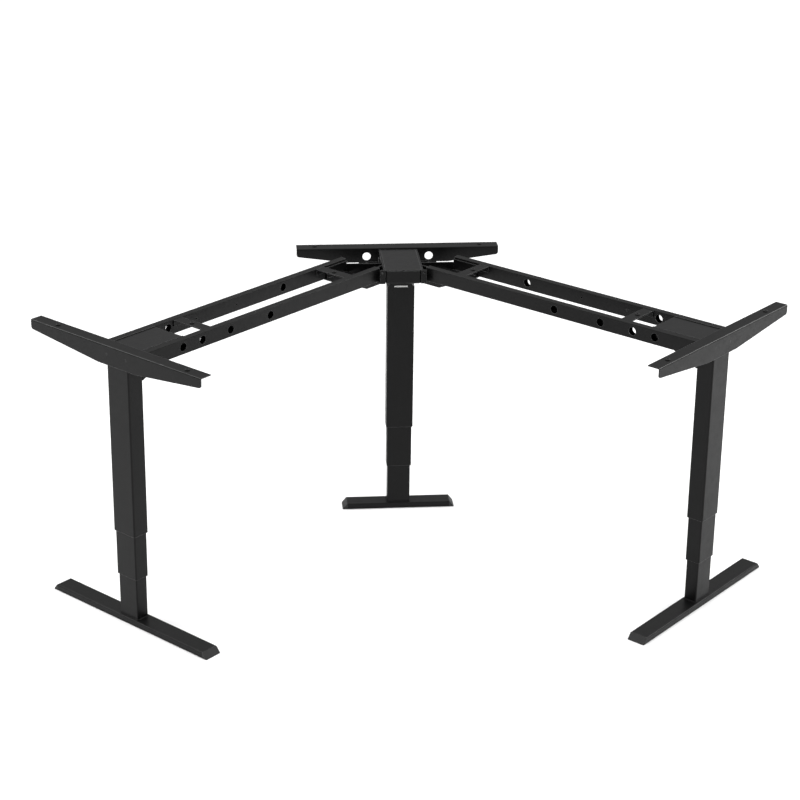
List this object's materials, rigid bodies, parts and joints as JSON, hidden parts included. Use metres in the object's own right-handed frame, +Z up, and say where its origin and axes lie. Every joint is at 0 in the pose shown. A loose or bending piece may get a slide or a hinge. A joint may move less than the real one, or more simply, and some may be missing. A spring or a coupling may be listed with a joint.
{
  "type": "height adjustable standing desk frame",
  "caption": "Corner standing desk frame: telescopic electric columns on flat feet, joined by two double-rail beams, with flanged brackets for a desk top.",
  "frame": {"origin": "centre of the corner leg's foot at floor level", "axes": "+X to the right along the corner foot, +Y to the back of the corner, +Z up"},
  "size_m": [2.052, 1.051, 0.796],
  "materials": {
    "powder_coat": "matt black powder coat",
    "cover_coat": "satin dark grey coat",
    "cap_plastic": "moulded matt black",
    "guide_plastic": "natural acetal",
    "rubber": "black rubber",
    "nut_plastic": "natural acetal",
    "zinc_steel": "zinc plated",
    "bright_steel": "drawn bright",
    "motor_grey": "die cast",
    "black_screw": "black oxide",
    "label_white": "blank printed film"
  },
  "bodies": {
    "corner_base": {"corner_foot": "powder_coat", "corner_foot_end_caps": "cap_plastic", "corner_foot_bolts": "zinc_steel", "corner_inner_tube": "powder_coat", "corner_inner_nut": "nut_plastic", "corner_inner_guides": "guide_plastic"},
    "corner_middle": {"corner_middle_tube": "powder_coat", "corner_middle_spindle": "zinc_steel", "corner_middle_guides": "guide_plastic"},
    "left_base": {"left_foot": "powder_coat", "left_foot_end_caps": "cap_plastic", "left_foot_bolts": "zinc_steel", "left_inner_tube": "powder_coat", "left_inner_nut": "nut_plastic", "left_inner_guides": "guide_plastic"},
    "left_middle": {"left_middle_tube": "powder_coat", "left_middle_spindle": "zinc_steel", "left_middle_guides": "guide_plastic"},
    "right_base": {"right_foot": "powder_coat", "right_foot_end_caps": "cap_plastic", "right_foot_bolts": "zinc_steel", "right_inner_tube": "powder_coat", "right_inner_nut": "nut_plastic", "right_inner_guides": "guide_plastic"},
    "right_middle": {"right_middle_tube": "powder_coat", "right_middle_spindle": "zinc_steel", "right_middle_guides": "guide_plastic"},
    "top_frame": {"corner_outer_tube": "powder_coat", "corner_drive_shaft": "bright_steel", "corner_motor": "motor_grey", "corner_motor_housing": "powder_coat", "corner_motor_cover": "cover_coat", "corner_top_bracket": "powder_coat", "corner_head_bolts": "black_screw", "corner_grommets": "rubber", "corner_column_label": "label_white", "left_rails": "powder_coat", "left_crossbars": "powder_coat", "left_coupler": "powder_coat", "left_coupler_bolts": "black_screw", "right_rails": "powder_coat", "right_crossbars": "powder_coat", "right_coupler": "powder_coat", "right_coupler_bolts": "black_screw"},
    "left_head": {"left_outer_tube": "powder_coat", "left_drive_shaft": "bright_steel", "left_motor": "motor_grey", "left_motor_housing": "powder_coat", "left_motor_cover": "cover_coat", "left_top_bracket": "powder_coat", "left_head_bolts": "black_screw", "left_grommets": "rubber"},
    "right_head": {"right_outer_tube": "powder_coat", "right_drive_shaft": "bright_steel", "right_motor": "motor_grey", "right_motor_housing": "powder_coat", "right_motor_cover": "cover_coat", "right_top_bracket": "powder_coat", "right_head_bolts": "black_screw", "right_grommets": "rubber"}
  },
  "joints": [
    {"name": "lift_lower", "type": "slide", "parent": "corner_base", "child": "corner_middle", "axis": [0, 0, 1], "range_m": [-0.1, 0.225]},
    {"name": "lift_upper", "type": "slide", "parent": "corner_middle", "child": "top_frame", "axis": [0, 0, 1], "range_m": [-0.1, 0.225]},
    {"name": "left_width_slide", "type": "slide", "parent": "top_frame", "child": "left_head", "axis": [-0.7071, -0.7071, 0], "range_m": [0, 0.1]},
    {"name": "left_upper_stage", "type": "slide", "parent": "left_head", "child": "left_middle", "axis": [0, 0, -1], "range_m": [-0.1, 0.225]},
    {"name": "left_lower_stage", "type": "slide", "parent": "left_middle", "child": "left_base", "axis": [0, 0, -1], "range_m": [-0.1, 0.225]},
    {"name": "right_width_slide", "type": "slide", "parent": "top_frame", "child": "right_head", "axis": [0.7071, -0.7071, 0], "range_m": [0, 0.1]},
    {"name": "right_upper_stage", "type": "slide", "parent": "right_head", "child": "right_middle", "axis": [0, 0, -1], "range_m": [-0.1, 0.225]},
    {"name": "right_lower_stage", "type": "slide", "parent": "right_middle", "child": "right_base", "axis": [0, 0, -1], "range_m": [-0.1, 0.225]}
  ],
  "couplings": [
    {"joint": "lift_upper", "follows": "lift_lower", "ratio": 1},
    {"joint": "left_upper_stage", "follows": "lift_lower", "ratio": 1},
    {"joint": "left_lower_stage", "follows": "lift_lower", "ratio": 1},
    {"joint": "right_upper_stage", "follows": "lift_lower", "ratio": 1},
    {"joint": "right_lower_stage", "follows": "lift_lower", "ratio": 1}
  ]
}
